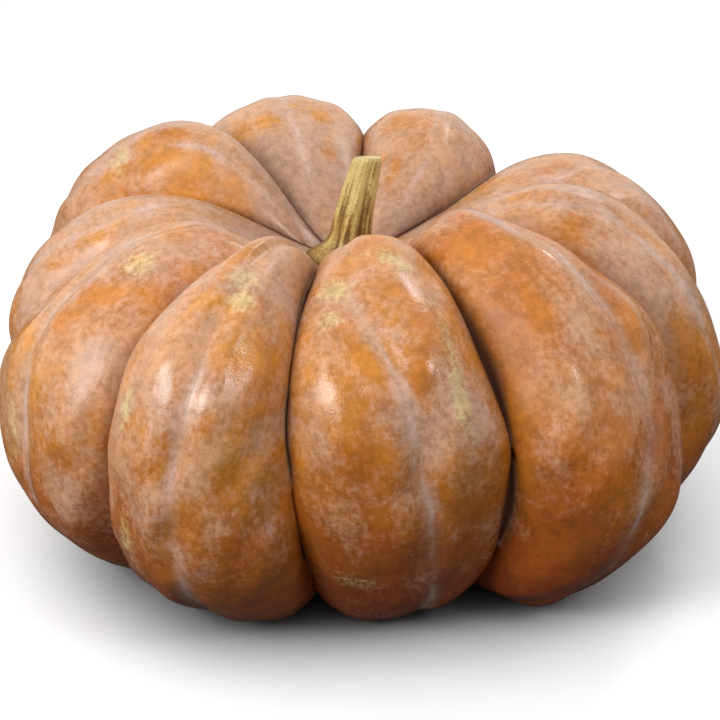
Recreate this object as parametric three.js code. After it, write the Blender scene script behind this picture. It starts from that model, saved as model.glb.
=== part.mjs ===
// A large squat pumpkin as it was picked: one fruit of ten deep lobes that stands on their feet,
// and the short ribbed stem in the hollow of its top. Millimetres, +Z up. The front looks along
// -Y, with +X to its right as one faces it. The origin is on the ground, under the middle of the
// fruit's outline seen from above.
import * as THREE from "three";

const { lerp, smoothstep, degToRad } = THREE.MathUtils;

// The lobes, clockwise from above and starting with the one in front. crownRadius and crownHeight
// place the top of a lobe's outline, reach and reachHeight its outermost point, and footRadius
// the foot that it stands on. furrow holds where the shallow line down the lobe runs, at the
// crown and at the foot, from -1 at the lobe's right crease to 1 at its left one.
const LOBES = [
  { crownRadius: 80, crownHeight: 200, reach: 177, reachHeight: 125, footRadius: 108, furrow: [0.4, -0.35] },
  { crownRadius: 105, crownHeight: 207, reach: 204, reachHeight: 115, footRadius: 110, furrow: [-0.35, 0.2] },
  { crownRadius: 90, crownHeight: 193, reach: 200, reachHeight: 95, footRadius: 107, furrow: [0.2, -0.1] },
  { crownRadius: 105, crownHeight: 182, reach: 190, reachHeight: 110, footRadius: 100, furrow: [0, 0.1] },
  { crownRadius: 105, crownHeight: 205, reach: 216, reachHeight: 85, footRadius: 100, furrow: [-0.3, -0.1] },
  { crownRadius: 130, crownHeight: 202, reach: 200, reachHeight: 95, footRadius: 100, furrow: [-0.1, 0.1] },
  { crownRadius: 110, crownHeight: 204, reach: 172, reachHeight: 90, footRadius: 100, furrow: [0.15, -0.1] },
  { crownRadius: 145, crownHeight: 181, reach: 216, reachHeight: 100, footRadius: 100, furrow: [0, 0.1] },
  { crownRadius: 105, crownHeight: 201, reach: 206, reachHeight: 90, footRadius: 100, furrow: [0.1, 0.2] },
  { crownRadius: 85, crownHeight: 207, reach: 212, reachHeight: 90, footRadius: 100, furrow: [-0.4, 0.15] },
];

// The creases, in degrees from +X, each on the right of the lobe with the same number as one faces
// it. bearing is the angle at mid height. twist is added towards the stem and turn at the foot,
// and sway bends the crease one way above mid height and the other way below.
const CREASES = [
  { bearing: -61, twist: -1, turn: 0, sway: -1 },
  { bearing: -100, twist: -6, turn: 2, sway: -1 },
  { bearing: -132, twist: 15, turn: -6, sway: 1 },
  { bearing: -169, twist: -1, turn: 12, sway: -2 },
  { bearing: -201, twist: -9, turn: 0, sway: 0 },
  { bearing: -230, twist: -3, turn: 0, sway: 0 },
  { bearing: -273, twist: -2, turn: 0, sway: 0 },
  { bearing: -308, twist: -10, turn: 0, sway: 0 },
  { bearing: -354, twist: 2, turn: 3, sway: 0 },
  { bearing: -386, twist: 0, turn: 0, sway: 1 },
];
const FULL_TURN = 360;

// How far a crease lies inside the lobes on its two sides.
const CREASE = { crownInset: 8, crownDrop: 30, waistInset: 30, footInset: 10, footHeight: 20 };
// The line down each lobe: its depth, and its width as a share of half the lobe.
const FURROW = { depth: 2, width: 0.13 };
// A lobe's foot would reach this far into the ground, and is pressed flat there.
const FOOT_DIP = 3;
// 0 eases a lobe up from the stem's seat as an S, 1 as a quarter of a wave.
const SHOULDER_ROUNDNESS = 0.5;
// The shallow cone in the middle of the top, where the stem grew.
const SEAT = { radius: 24, height: 155, centreHeight: 148 };
// The mark of the blossom in the middle of the underside: a hollow with a round button in it.
const SCAR = { radius: 20, height: 24, hollowRadius: 13, hollowHeight: 28, buttonRadius: 8, buttonHeight: 26 };
// The axis of the stem's seat and of the scar, from the origin.
const AXIS = { x: -7.5, y: -2.5 };

const STEM = {
  gap: 0.3, // under its foot
  footRadius: 20,
  toeLength: 3, // how far its five toes stand out of the foot's round edge
  toeBearing: 190,
  edgeHeight: 2.5,
  lowRadius: 11,
  topRadius: 7.8,
  topHeight: 213,
  lean: 10.5, // towards +X at the cut
  flare: 4.5, // height over which the foot narrows to the shaft
  cutSlope: 0.27, // the cut is lower at the back
  cutDepth: 1.2, // the pith in the middle of the cut has shrunk
  ribs: 5,
  ribHeight: 0.06, // of the radius
  grooveDepth: 0.05, // of the radius, between the ribs and along their backs, most at the foot
};

// How far down its outline a point of the fruit lies, its station: 0 at the seat's rim, 1 at the
// crown, 2 at the outermost point, 3 at the foot, 4 at the scar's rim.
const RINGS_PER_SPAN = [8, 9, 12, 8];
const COLUMNS_PER_LOBE = 12;
const STEM_COLUMNS = 40;
const STEM_RINGS = 14;

const quarterTurn = (share) => (share * Math.PI) / 2;

// Distance from the axis and height of a lobe's or crease's outline at a station: an eased line up
// to the crown, two quarter ellipses round the outside and an eased line in underneath.
function outline(shape, station) {
  if (station <= 1) {
    const rise = lerp(smoothstep(station, 0, 1), Math.sin(quarterTurn(station)), SHOULDER_ROUNDNESS);
    return [lerp(SEAT.radius, shape.crownRadius, station), lerp(SEAT.height, shape.crownHeight, rise)];
  }
  if (station <= 2) {
    const angle = quarterTurn(station - 1);
    return [
      lerp(shape.crownRadius, shape.reach, Math.sin(angle)),
      lerp(shape.reachHeight, shape.crownHeight, Math.cos(angle)),
    ];
  }
  if (station <= 3) {
    const angle = quarterTurn(station - 2);
    return [
      lerp(shape.footRadius, shape.reach, Math.cos(angle)),
      lerp(shape.reachHeight, shape.footHeight, Math.sin(angle)),
    ];
  }
  return [
    lerp(shape.footRadius, SCAR.radius, station - 3),
    lerp(shape.footHeight, SCAR.height, smoothstep(station, 3, 4)),
  ];
}

// The outline of the crease between two lobes: their mean, drawn in.
function creaseShape(lobeA, lobeB) {
  const mean = (key) => (lobeA[key] + lobeB[key]) / 2;
  return {
    crownRadius: mean("crownRadius") - CREASE.crownInset,
    crownHeight: mean("crownHeight") - CREASE.crownDrop,
    reach: mean("reach") - CREASE.waistInset,
    reachHeight: mean("reachHeight"),
    footRadius: mean("footRadius") - CREASE.footInset,
    footHeight: CREASE.footHeight,
  };
}

function creaseBearing(index, station) {
  const { bearing, twist, turn, sway } = CREASES[index % CREASES.length];
  const wrapped = bearing - FULL_TURN * Math.floor(index / CREASES.length);
  const bend = station > 1 && station < 3 ? Math.sin(Math.PI * (station - 1)) : 0;
  return wrapped + twist * (1 - smoothstep(station, 0.3, 1.6)) + turn * smoothstep(station, 2, 3) + sway * bend;
}

// A point of the fruit's skin. Across a lobe the skin stands out of the line between its two
// creases by a half ellipse, less the furrow down the lobe. share runs from 0 at the right crease
// to 1 at the left one, and its steps are closest at the creases, where the skin is steep.
function skinPoint(index, share, station) {
  const lobe = { ...LOBES[index], footHeight: -FOOT_DIP };
  const rightLobe = LOBES[(index + LOBES.length - 1) % LOBES.length];
  const leftLobe = LOBES[(index + 1) % LOBES.length];
  const furrow = lerp(...lobe.furrow, smoothstep(station, 1, 3));
  const swing = -Math.cos(Math.PI * share);
  const across = furrow + swing * (swing < 0 ? 1 + furrow : 1 - furrow);

  const right = outline(creaseShape(rightLobe, lobe), station);
  const left = outline(creaseShape(lobe, leftLobe), station);
  const crest = outline(lobe, station);
  const leftward = (across + 1) / 2;
  const groove = Math.exp(-(((across - furrow) / FURROW.width) ** 2)) * Math.sin((Math.PI * station) / 4);
  const bulge = Math.sqrt(Math.max(0, 1 - across ** 2)) * (1 - (FURROW.depth / CREASE.waistInset) * groove);
  const [radius, height] = [0, 1].map((i) => lerp(lerp(right[i], left[i], leftward), crest[i], bulge));

  const bearing = degToRad(lerp(creaseBearing(index, station), creaseBearing(index + 1, station), leftward));
  return new THREE.Vector3(radius * Math.cos(bearing), radius * Math.sin(bearing), Math.max(height, 0));
}

// A closed mesh over rings of points, with a pole point before the first and after the last ring.
function closedSkin(firstPole, rings, lastPole) {
  const columns = rings[0].length;
  const points = [firstPole, ...rings.flat(), lastPole];
  const at = (ring, column) => 1 + ring * columns + (column % columns);
  const faces = [];
  for (let column = 0; column < columns; column++) {
    faces.push(0, at(0, column + 1), at(0, column));
    for (let ring = 0; ring < rings.length - 1; ring++) {
      faces.push(at(ring, column), at(ring, column + 1), at(ring + 1, column));
      faces.push(at(ring, column + 1), at(ring + 1, column + 1), at(ring + 1, column));
    }
    faces.push(at(rings.length - 1, column), at(rings.length - 1, column + 1), points.length - 1);
  }
  const geometry = new THREE.BufferGeometry().setFromPoints(points);
  geometry.setIndex(faces);
  geometry.computeVertexNormals();
  return geometry;
}

// A level ring inside another one, at a new distance from the axis.
function innerRing(ring, radius, height) {
  return ring.map((point) => {
    const { x, y } = point.clone().setZ(0).setLength(radius);
    return new THREE.Vector3(x, y, height);
  });
}

function fruitGeometry() {
  const stations = [0];
  RINGS_PER_SPAN.forEach((count, span) => {
    for (let i = 1; i <= count; i++) stations.push(span + i / count);
  });
  const rings = stations.map((station) =>
    LOBES.flatMap((lobe, index) =>
      Array.from({ length: COLUMNS_PER_LOBE }, (_, column) => skinPoint(index, column / COLUMNS_PER_LOBE, station)),
    ),
  );
  const seatPole = new THREE.Vector3(0, 0, SEAT.centreHeight);
  const scarPole = new THREE.Vector3(0, 0, SCAR.buttonHeight);
  const rim = rings[rings.length - 1];
  rings.push(innerRing(rim, SCAR.hollowRadius, SCAR.hollowHeight));
  rings.push(innerRing(rim, SCAR.buttonRadius, SCAR.hollowHeight));
  rings.push(innerRing(rim, SCAR.buttonRadius * 0.8, SCAR.buttonHeight));
  return closedSkin(seatPole, rings, scarPole);
}

// Height of the underside of the stem at a distance from the axis: the seat's cone and the gap.
const stemBase = (radius) => lerp(SEAT.centreHeight, SEAT.height, radius / SEAT.radius) + STEM.gap;

function stemGeometry() {
  const footHeight = stemBase(STEM.footRadius) + STEM.edgeHeight;
  const angles = Array.from({ length: STEM_COLUMNS }, (_, column) => (2 * Math.PI * column) / STEM_COLUMNS);
  const ribWave = (angle) => Math.cos(STEM.ribs * (angle - degToRad(STEM.toeBearing)));
  const grooveWave = (angle) => Math.cos(2 * STEM.ribs * (angle - degToRad(STEM.toeBearing)));
  const toe = (angle) => STEM.footRadius + STEM.toeLength * ribWave(angle);

  const under = [1 / 3, 2 / 3, 1].map((share) =>
    angles.map((angle) => {
      const radius = toe(angle) * share;
      return new THREE.Vector3(radius * Math.cos(angle), radius * Math.sin(angle), stemBase(radius));
    }),
  );

  // The shaft: it leans, tapers and is widest at its foot, with ribs that deepen towards it.
  const shaftPoint = (angle, share, inset = 1) => {
    const height = (STEM.topHeight - footHeight) * share ** 1.6;
    const climb = height / (STEM.topHeight - footHeight);
    const ribs = STEM.ribHeight * ribWave(angle) - STEM.grooveDepth * (1 - climb) * grooveWave(angle);
    const shaft = lerp(STEM.lowRadius, STEM.topRadius, climb) * (1 + ribs);
    const radius = lerp(shaft, toe(angle), Math.exp(-height / STEM.flare)) * inset;
    const edgeLift = (stemBase(toe(angle)) + STEM.edgeHeight - footHeight) * (1 - climb);
    return new THREE.Vector3(
      radius * Math.cos(angle) + STEM.lean * climb ** 1.5,
      radius * Math.sin(angle),
      footHeight + height + edgeLift - STEM.cutSlope * climb * radius * Math.sin(angle),
    );
  };
  const side = Array.from({ length: STEM_RINGS + 1 }, (_, ring) =>
    angles.map((angle) => shaftPoint(angle, ring / STEM_RINGS)),
  );
  const pith = angles.map((angle) => shaftPoint(angle, 1, 0.6).add(new THREE.Vector3(0, 0, -STEM.cutDepth)));
  const footPole = new THREE.Vector3(0, 0, stemBase(0));
  const cutPole = new THREE.Vector3(STEM.lean, 0, STEM.topHeight - STEM.cutDepth);
  return closedSkin(footPole, [...under, ...side, pith], cutPole);
}

function namedMesh(name, geometry, finish) {
  const mesh = new THREE.Mesh(geometry, new THREE.MeshStandardMaterial({ metalness: 0, ...finish }));
  mesh.name = name;
  return mesh;
}

const pumpkin = new THREE.Group();
pumpkin.position.set(AXIS.x, AXIS.y, 0);
pumpkin.add(namedMesh("fruit", fruitGeometry(), { color: 0xc27a42, roughness: 0.5 }));
pumpkin.add(namedMesh("stem", stemGeometry(), { color: 0xc9b26e, roughness: 0.8 }));

export default pumpkin;
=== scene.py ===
"""A large squat pumpkin of ten deep lobes with its dry cut stem, on a pale studio floor.

The file is laid out as an add-on and run as a script. Each operator makes one piece: the fruit,
the stem or the studio. The tables hold millimetres and degrees where a comment doesn't say
otherwise; the meshes are in metres.
"""
import math

import bpy
import numpy as np
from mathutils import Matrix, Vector


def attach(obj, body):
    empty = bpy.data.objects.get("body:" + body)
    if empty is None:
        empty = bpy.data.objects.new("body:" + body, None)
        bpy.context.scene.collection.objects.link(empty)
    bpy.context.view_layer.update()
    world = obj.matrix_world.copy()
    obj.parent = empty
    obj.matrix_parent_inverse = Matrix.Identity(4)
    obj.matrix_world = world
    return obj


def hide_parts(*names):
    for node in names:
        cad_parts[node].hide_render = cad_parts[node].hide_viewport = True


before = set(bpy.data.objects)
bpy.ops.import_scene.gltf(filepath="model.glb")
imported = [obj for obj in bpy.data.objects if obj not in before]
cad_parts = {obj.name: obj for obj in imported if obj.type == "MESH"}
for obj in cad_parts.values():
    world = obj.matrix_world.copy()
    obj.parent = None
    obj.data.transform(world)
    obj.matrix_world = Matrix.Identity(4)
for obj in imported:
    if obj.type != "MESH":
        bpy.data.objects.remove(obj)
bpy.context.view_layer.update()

bl_info = {
    "name": "Ribbed Pumpkin",
    "version": (1, 0, 0),
    "blender": (4, 5, 0),
    "location": "3D Viewport > Sidebar > Pumpkin",
    "description": "Makes a squat ribbed pumpkin, its dry stem and a pale studio to show them in",
    "category": "Add Mesh",
}

MM = 0.001
QUARTER_TURN = math.pi / 2

# The lobes, clockwise from above and starting with the one in front: crown radius and height,
# reach and its height, foot radius, then where the furrow runs at the crown and at the foot, from
# -1 at the lobe's right crease to 1 at its left one as one faces it.
LOBES = {
    "front": (80, 200, 177, 125, 108, 0.4, -0.35),
    "front left": (105, 207, 204, 115, 110, -0.35, 0.2),
    "left": (90, 193, 200, 95, 107, 0.2, -0.1),
    "left back": (105, 182, 190, 110, 100, 0, 0.1),
    "back left": (105, 205, 216, 85, 100, -0.3, -0.1),
    "back": (130, 202, 200, 95, 100, -0.1, 0.1),
    "back right": (110, 204, 172, 90, 100, 0.15, -0.1),
    "right back": (145, 181, 216, 100, 100, 0, 0.1),
    "right": (105, 201, 206, 90, 100, 0.1, 0.2),
    "front right": (85, 207, 212, 90, 100, -0.4, 0.15),
}
# The creases, each on the right of the lobe with the same number: bearing from +X at mid height,
# then what is added towards the stem, at the foot, and as a sway between them.
CREASES = (
    (-61, -1, 0, -1),
    (-100, -6, 2, -1),
    (-132, 15, -6, 1),
    (-169, -1, 12, -2),
    (-201, -9, 0, 0),
    (-230, -3, 0, 0),
    (-273, -2, 0, 0),
    (-308, -10, 0, 0),
    (-354, 2, 3, 0),
    (-386, 0, 0, 1),
)
# Stations between which a crease loses its twist and takes its turn
CREASE_TWIST_SPAN = (0.3, 1.6)
CREASE_TURN_SPAN = (2, 3)
# How far the creases lie inside and below the lobes
CREASE_CROWN_INSET = 8
CREASE_CROWN_DROP = 30
CREASE_WAIST_INSET = 30
CREASE_FOOT_INSET = 10
CREASE_FOOT_HEIGHT = 20
FOOT_DIP = 3
SHOULDER_ROUNDNESS = 0.5
SEAT_RADIUS = 24
SEAT_HEIGHT = 155
SEAT_CENTRE_HEIGHT = 148
SCAR_RADIUS = 20
SCAR_HEIGHT = 24
# Radius and height of each ring inside the scar
SCAR_RINGS = ((16, 26.5), (13, 28), (10, 28.3), (8, 27.6), (6.8, 26.4), (4, 25.9))
SCAR_CENTRE_HEIGHT = 26
AXIS = np.array([-7.5, -2.5, 0])

# The pale vein down each lobe: its place across the lobe at each of these stations
VEIN_STATIONS = (0.5, 1, 1.25, 1.5, 1.75, 2, 2.5, 3)
VEINS = {
    "front": (0.4, 0.42, 0.42, 0.15, -0.06, -0.12, -0.28, -0.3),
    "front left": (-0.3, -0.3, -0.3, -0.24, -0.18, -0.09, -0.05, -0.05),
    "left": (0.05, 0.15, 0.35, 0.11, -0.08, -0.15, -0.15, -0.1),
    "left back": (0.15, -0.15, -0.4, -0.35, -0.2, -0.1, 0, 0.1),
    "back left": (-0.43, -0.56, -0.65, -0.5, -0.3, -0.2, -0.1, -0.1),
    "back": (-0.15, 0, 0.05, 0, -0.05, 0, 0.1, 0.1),
    "back right": (0.5, 0.25, 0.15, 0.1, 0.1, 0, -0.1, -0.1),
    "right back": (0, 0.05, 0, 0.05, 0.1, 0.05, 0.1, 0.1),
    "right": (0.4, 0.36, 0.25, 0.33, 0.35, 0.3, 0.2, 0.2),
    "front right": (0.1, -0.1, -0.21, -0.12, -0.02, 0.16, 0.22, 0.2),
}
# The station where the vein starts to show, on most lobes and on the others
VEIN_START = 0.3
LATE_VEIN_STARTS = {"front": 1.3, "front left": 1.5, "left back": 0.9}
VEIN_START_BLUR = 0.15
# How far the vein wanders to both sides, and over what length
VEIN_WANDER = 0.8
VEIN_WANDER_LENGTH = 30
# Stations from and to which the other looks of a lobe change
CREASE_NARROWING_SPAN = (1.6, 2.2)
HOLLOW_HAZE_SPAN = (0.2, 1.2)
DUST_AND_SHADE_SPAN = (0.3, 0.95)
UNDERSIDE_SPAN = (1.7, 2.6)
SCAR_CORK_SPAN = (3.7, 3.95)
HOLLOW_HAZE = 0.12
# The looks of each lobe: width of the band of painted shade in the crease on its right, depth of
# its furrow against the others, haze against the others, and how thick the dust and painted shade
# lie on it near the stem
LOBE_LOOKS = {
    "front": (12, 1.1, -0.01, 0.4),
    "front left": (3, 1.6, 0.02, 0.4),
    "left": (9, 0.8, 0, 0.6),
    "left back": (4, 0.6, 0.07, 0.7),
    "back left": (4, 0.5, 0.03, 0.7),
    "back": (10, 0.4, 0.04, 0.5),
    "back right": (9, 0.3, 0.04, 0.3),
    "right back": (6, 0.3, 0, 0.05),
    "right": (5, 0.4, 0, 0.05),
    "front right": (5, 0.5, -0.11, 0.2),
}
# The band of painted shade is never wider than this share of its lobe, and narrows below the shoulder
CREASE_SHADE_SHARE = 0.1
CREASE_SHADE_NARROWING = 2

# Soft bulges on each lobe: their place across it and down it, half their width and half their
# length, and their height
BULGES = {
    "front": (
        (0.6, 1.68, 16, 26, 1.2), (-0.32, 1.64, 11, 18, 2), (-0.45, 1.3, 9, 16, 1.4),
        (0.13, 2, 10, 12, 2), (-0.35, 2.02, 9, 12, 1.6),
    ),
    "front left": ((0.13, 1.58, 17, 24, 2.2), (-0.45, 1.64, 13, 24, 2), (-0.4, 2.1, 12, 14, 1.2)),
    "left": ((-0.53, 1.48, 16, 22, 2),),
    "left back": ((-0.6, 1.55, 12, 14, 1.5),),
    "front right": ((-0.03, 1.28, 13, 16, 1.4), (0.49, 1.55, 12, 15, 1.4), (0.6, 1.85, 13, 14, 1.2)),
}

# Patches of colour on each lobe: their place across it and down it (1 crown, 2 widest, 3 foot),
# half their width and half their length, and how strong they are. Bare patches lack the bloom.
BARE_PATCHES = {
    "front": (
        (0.07, 1.08, 18, 11, 1.6), (0.36, 1.14, 8, 7, 0.8), (0.35, 1.72, 13, 24, 1),
        (-0.18, 1.62, 7, 15, 1), (-0.32, 1.46, 8, 14, 1), (0.5, 1.48, 10, 10, 0.6),
        (-0.1, 1.3, 9, 8, 0.7), (-0.52, 2.16, 12, 12, 0.5), (0.36, 1.97, 15, 18, 0.9),
    ),
    "front left": (
        (-0.1, 1.05, 8, 8, 1), (0.2, 1.36, 14, 14, 0.8), (-0.67, 1.5, 9, 13, 1),
        (-0.8, 1.66, 8, 14, 0.9), (-0.6, 2, 16, 16, 0.5), (0.1, 1.93, 9, 12, 0.5),
        (0.47, 2.14, 10, 12, 0.8), (0.55, 1.55, 8, 10, 0.7),
    ),
    "left": (
        (-0.3, 1.4, 10, 8, 0.9), (-0.17, 1.54, 6, 7, 0.8), (-0.64, 1.86, 9, 14, 0.5),
        (0, 1.1, 12, 5, 0.7),
    ),
    "left back": ((-0.6, 1.3, 12, 8, 0.8), (-0.74, 1.5, 7, 10, 0.7), (-0.1, 0.8, 8, 8, 0.5)),
    "back left": (
        (-0.74, 0.9, 16, 12, 1.3), (-0.8, 0.6, 13, 14, 1.3), (-0.85, 1.05, 13, 14, 1.1),
        (-0.2, 1.05, 15, 8, 0.9),
    ),
    "back": (
        (-0.4, 0.83, 10, 9, 1.7), (0.35, 0.82, 9, 8, 1.7), (0.36, 0.53, 8, 9, 1.6),
        (-0.75, 0.94, 9, 9, 1.4),
    ),
    "back right": ((-0.15, 0.5, 6, 11, 1.7), (-0.3, 0.9, 10, 8, 1), (-0.6, 0.55, 9, 8, 1.2)),
    "right back": ((-0.2, 0.88, 16, 8, 0.8), (-0.6, 0.75, 14, 8, 0.6)),
    "right": (
        (0.55, 0.82, 18, 6, 0.9), (0.65, 1.15, 14, 8, 0.8), (0.7, 1.74, 12, 25, 1.3),
        (0.6, 2.1, 16, 20, 1.2),
    ),
    "front right": (
        (0.36, 1.07, 15, 13, 1), (0.7, 1.1, 8, 8, 0.7), (0.36, 1.25, 12, 12, 0.7),
        (-0.2, 1.42, 8, 12, 0.9), (0.67, 1.42, 12, 12, 0.6), (0, 1.83, 12, 16, 0.5),
        (0.45, 1.87, 18, 18, 0.8), (-0.2, 1.75, 8, 18, 0.9),
    ),
}
BLOOM_PATCHES = {
    "front": (
        (0.43, 1.32, 8, 12, 0.7), (-0.03, 1.53, 5, 15, 0.8), (-0.02, 1.76, 5, 16, 0.8),
        (0, 2.1, 8, 20, 0.5), (0.76, 1.8, 7, 22, 0.5), (0.69, 1.5, 8, 16, 0.6),
        (-0.26, 1.91, 8, 14, 0.6), (-0.63, 1.86, 8, 26, 0.8),
    ),
    "front left": (
        (-0.6, 1.08, 14, 13, 1), (-0.84, 1.23, 8, 13, 0.9), (-0.28, 1.18, 13, 8, 0.8),
        (-0.17, 1.75, 6, 18, 1), (-0.45, 1.88, 12, 14, 1), (0.3, 1.15, 7, 8, 0.6),
    ),
    "left": (
        (-0.6, 1.62, 14, 16, 0.2), (-0.5, 1.07, 16, 10, 0.8), (0.08, 1.29, 9, 10, 0.7),
        (-0.64, 2.15, 15, 18, 1.2),
    ),
    "left back": ((-0.6, 1.68, 13, 14, 0.7), (-0.44, 1.03, 16, 10, 0.8)),
    "back": ((-0.12, 0.86, 5, 10, 1), (-0.07, 0.66, 6, 14, 0.8), (0.66, 0.76, 8, 13, 0.9)),
    "back right": ((0.43, 0.66, 13, 14, 0.8), (0.81, 0.68, 9, 13, 0.8)),
    "right back": ((0.4, 1.1, 13, 8, 0.8),),
    "right": ((0.74, 1.54, 10, 14, 0.6), (0.54, 1.36, 10, 14, 0.6)),
    "front right": (
        (0.25, 1.5, 10, 20, 1.6), (0.63, 1.66, 14, 12, 1.3), (-0.09, 1.62, 8, 14, 0.8),
        (0.92, 1.45, 7, 14, 0.5), (-0.05, 1.36, 11, 10, 1.1),
    ),
}
CORK_PATCHES = {
    "front": (
        (0.57, 1.25, 11, 9, 0.85), (0.6, 1.4, 8, 5, 0.75), (-0.15, 1.15, 7, 4, 0.9),
        (-0.32, 1.2, 7, 4, 0.9), (-0.52, 1.5, 4, 28, 0.5), (-0.5, 1.78, 6, 26, 0.6),
        (0.5, 2.4, 14, 8, 0.5), (0.1, 1.1, 20, 6, 0.4),
    ),
    "front left": (
        (-0.4, 1.3, 10, 6, 1), (-0.25, 1.2, 18, 9, 0.55), (0.45, 1.75, 6, 13, 0.75),
        (0.45, 2.2, 9, 20, 0.55),
    ),
    "left": ((-0.3, 1.25, 9, 10, 0.75), (0.05, 1.95, 6, 24, 0.5)),
    "left back": ((0.5, 1.6, 12, 14, 0.5),),
    "back left": ((-0.6, 1.3, 13, 7, 0.8),),
    "back": ((0.8, 0.95, 6, 10, 0.5), (-0.3, 1.7, 14, 18, 0.5)),
    "back right": ((0.2, 1.9, 12, 20, 0.5),),
    "right back": ((-0.92, 0.6, 7, 22, 0.7),),
}
# Patches that are duller than the rest, or glossier where the strength is below 0
MATT_PATCHES = {
    "front": ((-0.32, 1.64, 10, 14, -0.4), (-0.42, 1.3, 9, 16, -0.3), (0.13, 2, 10, 12, -0.3)),
    "front left": ((0.5, 1.5, 14, 20, 0.4), (0.13, 1.58, 14, 22, -0.3), (-0.42, 1.64, 12, 24, -0.3)),
    "left": ((-0.5, 1.5, 22, 30, 0.6),),
    "left back": ((-0.6, 1.5, 18, 24, 0.5),),
    "back left": ((-0.85, 0.9, 18, 22, 1), (-0.6, 0.6, 20, 20, 1)),
    "front right": (
        (0.85, 1.5, 20, 45, 1.2), (0.7, 1.2, 16, 18, 0.6), (-0.03, 1.27, 10, 20, -0.5),
        (0.47, 1.56, 11, 16, -0.5),
    ),
}

# The furrow along each vein is two bells, given by depth and half width, between low banks
FURROW_BELLS = ((0.5, 6), (0.8, 15))
BANK_HEIGHT = 0.8
BANK_OFFSET = 14
BANK_WIDTH = 8
# Lengths of the skin's swells and lumps; the lumps are drawn out down the lobe, and die out
# towards the crease
SWELL_LENGTH = 75
LUMP_LENGTH = 24
LUMP_SQUEEZE = 0.55
LUMP_FREE_EDGE = 14
# How far apart the lobes lie in the fields of noise, so that no two are alike
WANDER_STRIDE = 500
LUMP_STRIDE = 400
GRAIN_STRIDE = 170

RINGS_PER_SPAN = (38, 48, 54, 32)
SPAN_COUNT = len(RINGS_PER_SPAN)
STEPS_PER_LOBE = 54
SMALLEST_LENGTH = 1e-12
# Wavelengths of a random field, shortest and longest, against the one asked for
WAVE_SPREAD = (0.7, 1.5)
# How far the steps across a lobe close up towards its creases
STEP_CROWDING = 0.6


def srgb(red, green, blue):
    """Linear colour of an 8-bit display colour."""
    share = np.array([red, green, blue]) / 255
    return tuple(np.where(share <= 0.04045, share / 12.92, ((share + 0.055) / 1.055) ** 2.4))


# Darker, redder rind towards the foot: partly its own colour, partly painted shade
UNDERSIDE_TINT_AND_SHADE = srgb(128, 50, 16)
# Greyish brown near the stem: partly dust, partly painted shade in the hollow
DUST_AND_SHADE_BROWN = srgb(150, 106, 80)
# Brown of the painted shade deep in the creases
CREASE_SHADE_BROWN = srgb(84, 38, 16)
# Brown of the painted shade in the stem's deepest furrows and near its foot
STEM_SHADE_BROWN = srgb(108, 74, 30)
STEM_SPECK_BROWN = srgb(120, 84, 36)
STEM_CUT_STRAW = srgb(212, 196, 150)
PAPER_WHITE = (0.97, 0.98, 0.99)
PAPER_IN_SHADOW = (0.02, 0.02, 0.02)
PAPER_BOUNCE = (0.08, 0.08, 0.08)


class PumpkinFruitSettings(bpy.types.PropertyGroup):
    """What can be changed about the fruit"""

    furrow_depth: bpy.props.FloatProperty(
        name="Furrow Depth",
        description="Depth of the shallow line down each lobe",
        default=2.2 * MM, min=0, max=6 * MM, unit="LENGTH",
    )
    unevenness: bpy.props.FloatProperty(
        name="Unevenness",
        description="How far the skin swells and sinks between one hand's width and the next",
        default=1.3 * MM, min=0, max=5 * MM, unit="LENGTH",
    )
    lump_height: bpy.props.FloatProperty(
        name="Lump Height",
        description="Height of the finger-wide lumps that break up the gloss",
        default=0.55 * MM, min=0, max=3 * MM, unit="LENGTH",
    )
    flesh: bpy.props.FloatVectorProperty(
        name="Bare Rind", description="Rind where the bloom is rubbed off",
        default=srgb(203, 131, 38), subtype="COLOR", size=3, min=0, max=1,
    )
    deep_flesh: bpy.props.FloatVectorProperty(
        name="Deep Rind", description="Darkest spots of the bare rind",
        default=srgb(161, 75, 20), subtype="COLOR", size=3, min=0, max=1,
    )
    bloom: bpy.props.FloatVectorProperty(
        name="Bloom", description="Pale waxy bloom that clouds the rind",
        default=srgb(196, 148, 111), subtype="COLOR", size=3, min=0, max=1,
    )
    grey_bloom: bpy.props.FloatVectorProperty(
        name="Grey Bloom", description="Cooler bloom that clouds it in places",
        default=srgb(194, 157, 136), subtype="COLOR", size=3, min=0, max=1,
    )
    cork: bpy.props.FloatVectorProperty(
        name="Cork", description="Tan patches where the rind has healed",
        default=srgb(206, 184, 126), subtype="COLOR", size=3, min=0, max=1,
    )
    furrow: bpy.props.FloatVectorProperty(
        name="Furrow", description="Pale line down each lobe",
        default=srgb(198, 164, 146), subtype="COLOR", size=3, min=0, max=1,
    )


class PumpkinStemSettings(bpy.types.PropertyGroup):
    """What can be changed about the stem"""

    top_radius: bpy.props.FloatProperty(
        name="Cut Radius", description="Radius of the stem at its cut",
        default=7.8 * MM, min=4 * MM, max=15 * MM, unit="LENGTH",
    )
    low_radius: bpy.props.FloatProperty(
        name="Low Radius", description="Radius of the shaft just above its foot",
        default=11 * MM, min=6 * MM, max=18 * MM, unit="LENGTH",
    )
    top_height: bpy.props.FloatProperty(
        name="Cut Height", description="Height of the cut above the ground",
        default=213 * MM, min=180 * MM, max=240 * MM, unit="LENGTH",
    )
    lean: bpy.props.FloatProperty(
        name="Lean", description="How far the cut stands to the right of the foot",
        default=10.5 * MM, min=-20 * MM, max=20 * MM, unit="LENGTH",
    )
    straw: bpy.props.FloatVectorProperty(
        name="Straw", description="Pale backs of the ribs",
        default=srgb(205, 182, 114), subtype="COLOR", size=3, min=0, max=1,
    )
    ochre: bpy.props.FloatVectorProperty(
        name="Ochre", description="Brown of the furrows between the ribs",
        default=srgb(160, 120, 47), subtype="COLOR", size=3, min=0, max=1,
    )


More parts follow.
